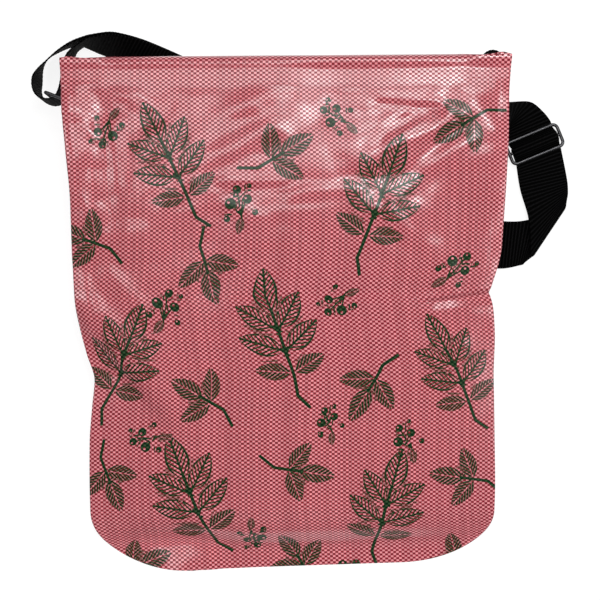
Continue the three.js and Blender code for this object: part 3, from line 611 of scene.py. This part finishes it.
# ---------------------------------------------------------------- flap
def flap_points(cols):
    t = np.linspace(-1, 1, cols)
    s = 0.7 * t + 0.3 * np.sin(np.pi * t / 2)
    rows = []
    half = look(BODY_HALF, 166.5)
    for y in np.linspace(LAP_Y, FOLD_Y, 8)[:-1]:
        x = BAG_X + half * s
        rows.append(np.stack([x, y + top_y(x) - FOLD_Y, REST_Z + under_lift(x, y)], 1))
    fine = np.linspace(0, 180, 721)
    square = 1 - 0.6 * smooth((fine - 60) / 40)
    reach = FOLD_R * np.sin(np.radians(fine)) ** square
    level = np.sign(np.cos(np.radians(fine))) * np.abs(np.cos(np.radians(fine))) ** square
    left_over = np.append(np.cumsum(np.hypot(np.diff(reach), np.diff(level) * FLAP_Z / 2)[::-1])[::-1], 0)
    for arc in np.linspace(left_over[0], 0, 47)[:-1]:
        phi, over, flat_z = (float(np.interp(arc, left_over[::-1], v[::-1])) for v in (fine, FOLD_Y + reach, level))
        wide = smooth((phi - 108) / 26)
        left = (1 - wide) * (BAG_X - half) + wide * look(FLAP_LEFT, over)
        right = (1 - wide) * (BAG_X + half) + wide * look(FLAP_RIGHT, over)
        x = left + (right - left) * (s + 1) / 2
        low = REST_Z + under_lift(x, FOLD_Y + 4)
        z = low + (FLAP_Z - low) * (1 - flat_z) / 2
        out = smooth((np.abs(x - BAG_X) - half + 15) / 14) * smooth((phi - 96) / 20)
        tip = 19.4 + 1.8 * smooth((-169 - x) / 8) + 2.6 * smooth((x - 150.5) / 3)
        y = over + (FOLD_Y + np.minimum(tip, arc) - over) * out + top_y(x) - FOLD_Y
        z = z + (FLAP_Z - 0.4 - z) * out
        dip = 2.6 * (1 - smooth((arc - 10) / 8)) * (1 + 0.2 * ripples(x, 0 * x, 90, 31))
        rows.append(np.stack([x, y, z - dip], 1))
    turn_rows = len(rows)
    tall = FOLD_Y - HEM_Y
    at = np.concatenate([np.linspace(138, 147, 7), np.linspace(-6, 10, 15)])
    extra = (at - hem_y(60)) / (top_y(60) - hem_y(60)) * tall
    plain = row_heights(tall, FLAP_CUT_L[1], 146, 26)
    plain = plain[np.abs(plain[:, None] - extra[None]).min(1) > 1.1]
    for up in np.sort(np.concatenate([plain, extra]))[::-1]:
        left = look(FLAP_LEFT, HEM_Y + up) + corner(*FLAP_CUT_L, up)
        right = look(FLAP_RIGHT, HEM_Y + up) - corner(*FLAP_CUT_R, up)
        x = left + (right - left) * (s + 1) / 2
        y = hem_y(x) + (top_y(x) - hem_y(x)) * up / tall
        edge = np.minimum(x - left, right - x)
        groove = 0.4 * np.exp(-(((edge - HEM_W) / 1.5) ** 2)) + 0.16 * np.maximum(0, HEM_W - edge)
        groove = groove * smooth((y + 40) / 120) * np.where(x < BAG_X, 1, 0.45)
        curl = 6.2 * np.exp(-(((x + 96) / 30) ** 2)) * (1 - np.minimum(1, up / 23) ** 1.4) * (1 + 0.12 * ripples(x, y, 30, 51))
        z = flap_height(x, y) + (dents(x, y) + crumple(x, y)) * smooth((FOLD_Y - y) / 10) * smooth(up / 60)
        dip = 2.6 * smooth((y - top_y(x) + 62) / 60) * (1 + 0.2 * ripples(x, 0 * x, 90, 31))
        rows.append(np.stack([x, y, np.maximum(z - groove - dip, REST_Z + 0.05) + curl], 1))
    return np.array(rows), turn_rows


points, turn_rows = flap_points(185)
flat = flat_places(points, turn_rows)
flap, flap_area = cloth_piece("flap", points, flat)


# ---------------------------------------------------------------- pouch
def panel_points(top, height, cols, rows, seed):
    s = np.linspace(-1, 1, cols)
    base = HEM_Y + BODY_END
    out = []
    for up in row_heights(top - base, BODY_CUT, rows, 14):
        half = look(BODY_HALF, base + up) - corner(BODY_CUT, BODY_CUT, up)
        x = BAG_X + half * s
        low = hem_y(x) + BODY_END
        y = low + (top - low) * up / (top - base)
        out.append(np.stack([x, y, height(x, y)], 1))
    return np.array(out)


front_pts = panel_points(FRONT_TOP, front_height, 90, 90, 11)
front_flat = flat_places(front_pts, 0)
front, front_area = cloth_piece("front_panel", front_pts, front_flat)
back_pts = panel_points(BACK_TOP, back_height, 90, 90, 12)
back_flat = flat_places(back_pts, 0)
back, back_area = cloth_piece("back_panel", back_pts, back_flat)


def gusset_points():
    base = HEM_Y + BODY_END + SEAM
    tall, cut = GUSSET_TOP - base, BODY_CUT - SEAM
    ups = row_heights(tall, cut, 110, 16)
    side = np.concatenate([np.full(len(ups), -1.0), np.linspace(-1, 1, 82)[1:-1], np.full(len(ups), 1.0)])
    up = np.concatenate([ups, np.zeros(80), ups[::-1]])
    half = look(BODY_HALF, base + up) - SEAM - corner(cut, cut, up)
    x = BAG_X + half * side
    low_y = hem_y(x) + BODY_END + SEAM
    y = low_y + (GUSSET_TOP - low_y) * up / tall
    along = np.gradient(np.stack([x, y], 1), axis=0)
    inward = unit(np.stack([-along[:, 1], along[:, 0]], 1))
    reach = np.array([-12, -6, 0, 6, 12.0])
    nx, ny = x[:, None] + inward[:, 1:] * reach, y[:, None] - inward[:, :1] * reach
    low = back_height(nx, ny).max(1) + 1.35
    high = front_height(nx, ny).min(1) - 1.65
    t = np.linspace(0, 1, 15)
    run = np.cumsum(np.concatenate([[0], np.hypot(np.diff(x), np.diff(y))]))
    sink = GUSSET_SINK * np.sin(np.pi * t)[None] * np.minimum(1, (high - low) / 30)[:, None]
    return np.stack([x[:, None] + inward[:, :1] * sink, y[:, None] + inward[:, 1:] * sink,
                     low[:, None] + (high - low)[:, None] * t], -1), run


gus_pts, gus_run = gusset_points()
d = np.linalg.norm(np.diff(gus_pts, axis=1), axis=-1)
gus_flat = np.stack([np.concatenate([np.zeros((len(d), 1)), np.cumsum(d, 1)], 1), np.broadcast_to(-gus_run[:, None], gus_pts.shape[:2])], -1)
gusset, gusset_area = cloth_piece("gusset", gus_pts, gus_flat)


# ---------------------------------------------------------------- webbing
def section(x, y, z, turn, lean, across=WEB_W):
    t, e = math.radians(turn), math.radians(lean)
    return np.array([x, y, z, *(np.array([math.cos(t) * math.cos(e), math.sin(t) * math.cos(e), math.sin(e)]) * across / 2)])


def between(rows, count):
    """Extra sections on a smooth curve through the given ones."""
    rows = np.array(rows)
    p = np.concatenate([rows[:1], rows, rows[-1:]])
    out = []
    for i in range(len(rows) - 1):
        a, b, c, d = p[i:i + 4]
        for t in np.arange(count) / count:
            out.append(0.5 * (2 * b + (c - a) * t + (2 * a - 5 * b + 4 * c - d) * t**2 + (3 * b - a - 3 * c + d) * t**3))
    return np.array(out + [rows[-1]])


def along_slider(along, z):
    t = math.radians(SLIDER["turn"])
    return section(SLIDER["x"] + math.sin(t) * along, SLIDER["y"] - math.cos(t) * along, z, SLIDER["turn"], 0)


def fold_sections():
    f = STRAP_FOLD
    t = math.radians(f["turn"])
    out = []
    for psi in np.linspace(0, math.pi, f["steps"] + 1):
        slack = 1 - math.sin(psi)
        far, near = (22.5 + 5.5 * slack, 23.5 + 0.5 * slack) if psi < math.pi / 2 else (22.5 + 3.5 * slack, 23.5 + 9.5 * slack)
        reach, mid = -f["radius"] * slack, (far - near) / 2
        out.append(section(f["x"] + math.sin(t) * reach + math.cos(t) * mid, f["y"] - math.cos(t) * reach + math.sin(t) * mid,
                           0.7 + f["radius"] * (1 + math.cos(psi)), f["turn"], 0, far + near))
    return np.array(out)


def strap_rows():
    sewn = between([section(*r) for r in STRAP_SEWN] + [along_slider(*r) for r in STRAP_WAVE], 8)
    fold = fold_sections()
    down = between([along_slider(*STRAP_WAVE[-1])] + [section(*r) for r in STRAP_FLAT] + [fold[0]], 10)[1:]
    under = between([fold[-1]] + [section(*r) for r in STRAP_UNDER], 10)[1:]
    doubled = np.concatenate([down, fold[1:], under])
    run = np.gradient(doubled[:, :3], axis=0)
    back = doubled.copy()
    back[:, :3] += unit(np.cross(doubled[:, 3:], run)) * WEB_PITCH
    back = back[::-1]
    loop = between([doubled[-1]] + [section(*r) for r in STRAP_LOOP] + [back[0]], 10)[1:-1]
    end = between([along_slider(*r) for r in STRAP_END], 8)
    return np.concatenate([sewn, doubled, loop, back, end])


def band(name, rows, step, lanes):
    """Webbing along a row of sections, with ribs and rounded edges."""
    run = np.concatenate([[0], np.cumsum(np.linalg.norm(np.diff(rows[:, :3], axis=0), axis=1))])
    keep = np.concatenate([[True], np.diff(run) > 1e-4])
    rows, run = rows[keep], run[keep]
    at = np.linspace(0, run[-1], max(8, int(run[-1] / step)))
    rows = np.stack([np.interp(at, run, rows[:, k]) for k in range(6)], 1)
    tangent = unit(np.gradient(rows[:, :3], axis=0))
    normal = unit(np.cross(rows[:, 3:], tangent))
    t = np.array([-1, -0.985, -0.95, -0.6, -0.2, 0.2, 0.6, 0.95, 0.985, 1])
    body = np.array([0.35, 0.8, 1, 1, 1, 1, 1, 1, 0.8, 0.35]) * WEB / 2
    rib = 0.10 * np.cos(2 * np.pi * at / WEB_RIB)
    high = body[None] * (1 + rib[:, None] / (WEB / 2)) - 0.10
    upper = rows[:, None, :3] + rows[:, None, 3:] * t[None, :, None] + normal[:, None] * high[..., None]
    lower = rows[:, None, :3] + rows[:, None, 3:] * t[None, :, None] - normal[:, None] * high[..., None]
    rings = np.concatenate([upper, lower[:, ::-1]], 1)
    verts, faces, bake, places = tube(rings, lanes=lanes)
    m = rings.shape[1]
    width = np.concatenate([t, t[::-1], t[:1]]) * WEB_W / 2
    uv = np.stack([width[places[..., 0]], at[np.minimum(places[..., 1], len(at) - 1)]], -1).reshape(-1, 2) / 1000
    caps = np.zeros((2 * m, 2))
    return put(name + "_webbing", verts, faces, name, WEB_LOOK,
               np.concatenate([uv, caps]), np.concatenate([bake.reshape(-1, 2), caps + 0.001]))


strap = band("strap", strap_rows(), 0.65, 16)

ring_in, ring_out = np.array(RING["inner"]), np.array(RING["outer"])
ring_way = (ring_in - ring_out) / np.linalg.norm(ring_in - ring_out)
ring_z = RING["z0"] + RING["long"] / 2
bar_at = ring_in - ring_way * 1.25
tab_rows = between([section(*(bar_at + ring_way * (13 - out) + np.array([-ring_way[1], ring_way[0]]) * side), ring_z - 0.2, 0, 90)
                    for out, side in TAB], 8)
tab = band("tab_left", tab_rows, 0.65, 2)


# ---------------------------------------------------------------- metal
def wire(path, radius, loop, sides=16):
    """Round wire along a path of points."""
    if loop:
        tangent = unit(np.roll(path, -1, 0) - np.roll(path, 1, 0))
    else:
        tangent = unit(np.gradient(path, axis=0))
    span = path - path.mean(0)
    axis = np.linalg.svd(span - span.mean(0))[2][2]
    side = unit(np.cross(tangent, np.broadcast_to(axis, tangent.shape)))
    up = unit(np.cross(side, tangent))
    a = np.linspace(0, 2 * math.pi, sides, endpoint=False)
    return path[:, None] + radius * (np.cos(a)[None, :, None] * side[:, None] + np.sin(a)[None, :, None] * up[:, None])


def rounded(width, height, radius, steps=7):
    out = []
    for cx, cy, start in ((1, -1, -90), (1, 1, 0), (-1, 1, 90), (-1, -1, 180)):
        for k in range(steps + 1):
            a = math.radians(start + 90 * k / steps)
            out.append((cx * (width / 2 - radius) + radius * math.cos(a), cy * (height / 2 - radius) + radius * math.sin(a)))
    return np.array(out)


def skin(parts):
    """One mesh from several closed skins."""
    verts, faces, at = [], [], 0
    for v, f in parts:
        verts.append(v)
        faces += [np.asarray(q) + at for q in f]
        at += len(v)
    return np.concatenate(verts), faces


plan = rounded(RING["short"] - RING["wire"], RING["long"] - RING["wire"], 3.4)
mid = (ring_in + ring_out) / 2
path = np.stack([mid[0] + ring_way[0] * plan[:, 0], mid[1] + ring_way[1] * plan[:, 0], ring_z + plan[:, 1]], 1)
ring_skin = tube(wire(path, RING["wire"] / 2, True), loop=True)
ring = put("ring_left_wire", ring_skin[0], ring_skin[1], "ring_left", METAL_LOOK)

turn = math.radians(SLIDER["turn"])


def on_slider(p):
    return np.stack([SLIDER["x"] + p[:, 0] * math.cos(turn) - p[:, 1] * math.sin(turn),
                     SLIDER["y"] + p[:, 0] * math.sin(turn) + p[:, 1] * math.cos(turn), np.full(len(p), SLIDER["z"])], 1)


plan = rounded(SLIDER["long"] - SLIDER["wire"], 2 * SLIDER["pitch"], 3.6)
frame_skin = tube(wire(on_slider(plan), SLIDER["wire"] / 2, True), loop=True)
reach = SLIDER["long"] / 2 - SLIDER["wire"] / 2
bar = on_slider(np.stack([np.linspace(-reach, reach, 24), np.zeros(24)], 1))
bar_tan = unit(bar[-1] - bar[0])
a = np.linspace(0, 2 * math.pi, 16, endpoint=False)
bar_side = np.array([-bar_tan[1], bar_tan[0], 0])
bar_rings = bar[:, None] + 1.25 * (np.cos(a)[None, :, None] * bar_side + np.sin(a)[None, :, None] * np.array([0, 0, 1.0]))
bar_skin = tube(bar_rings)
verts, faces = skin([frame_skin[:2], bar_skin[:2]])
slider = put("slider_right_wire", verts, faces, "slider_right", METAL_LOOK)


# ---------------------------------------------------------------- floor, light and camera
def floor():
    s = Shader("floor")
    grain = s.noise(s.node("TexCoord").outputs["Object"], 3.0, 3.0)
    return s.finish(s.mix(grain, (0.19, 0.19, 0.19, 1), (0.21, 0.21, 0.21, 1)), 0.9, Specular_IOR_Level=0.1,
                    Emission_Color=(1, 1, 1, 1), Emission_Strength=0.87)


mesh = bpy.data.meshes.new("floor")
mesh.from_pydata([(-6, -6, 0), (6, -6, 0), (6, 6, 0), (-6, 6, 0)], [], [(0, 1, 2, 3)])
ground = bpy.data.objects.new("floor", mesh)
bpy.context.scene.collection.objects.link(ground)
mesh.materials.append(floor())


def lamp(name, size, power, at, target):
    data = bpy.data.lights.new(name, "AREA")
    data.shape, data.size, data.size_y, data.energy = "RECTANGLE", size[0], size[1], power
    obj = bpy.data.objects.new(name, data)
    bpy.context.scene.collection.objects.link(obj)
    obj.location = at
    way = np.array(target, float) - np.array(at, float)
    obj.rotation_mode = "QUATERNION"
    import mathutils
    obj.rotation_quaternion = mathutils.Vector(way).to_track_quat("-Z", "Y")
    return obj


# soft lamps round the bag: azimuth, height above the horizon, share of the light
LIGHT, AWAY, WIDE = 0.67 * math.pi, 2.2, 0.75
for name, azimuth, height, share in (("lamp_back", 75, 56, 0.36), ("lamp_left", 172, 47, 0.20),
                                     ("lamp_right", 350, 43, 0.32), ("lamp_front", 265, 38, 0.12)):
    az, el = math.radians(azimuth), math.radians(height)
    at = (AWAY * math.cos(el) * math.cos(az), AWAY * math.cos(el) * math.sin(az), AWAY * math.sin(el))
    lamp(name, (WIDE, WIDE), share * LIGHT * math.pi * AWAY**2 / math.sin(el), at, (0, 0, 0)).visible_glossy = name != "lamp_front"
lamp("softbox", (0.80, 0.30), 2.9, (0.03, 0.30, 1.12), (0.02, 0.10, 0))
lamp("strip_left", (0.10, 0.20), 0.45, (-0.30, 0.04, 1.12), (-0.16, 0.09, 0.04))
lamp("strip", (0.26, 0.12), 1.6, (0.25, 0.28, 1.11), (0.12, 0.10, 0))
# a low lamp in front lifts the bag's lower end
low = lamp("fill_front", (0.60, 0.12), 0.26, (-0.01, -0.42, 0.25), (-0.01, -0.19, 0))
low.visible_glossy = low.visible_camera = False

scene = bpy.context.scene
world = bpy.data.worlds.new("studio")
world.use_nodes = True
world.node_tree.nodes["Background"].inputs[0].default_value = (1, 1, 1, 1)
world.node_tree.nodes["Background"].inputs[1].default_value = 0.12
scene.world = world
scene.view_settings.view_transform = "Standard"

camera = bpy.data.cameras.new("camera")
camera.sensor_width, camera.lens = 36.0, 78.75
view = bpy.data.objects.new("camera", camera)
bpy.context.scene.collection.objects.link(view)
view.location = tuple((np.array([0, 0, 1050.0]) + OFFSET) / 1000)
scene.camera = view
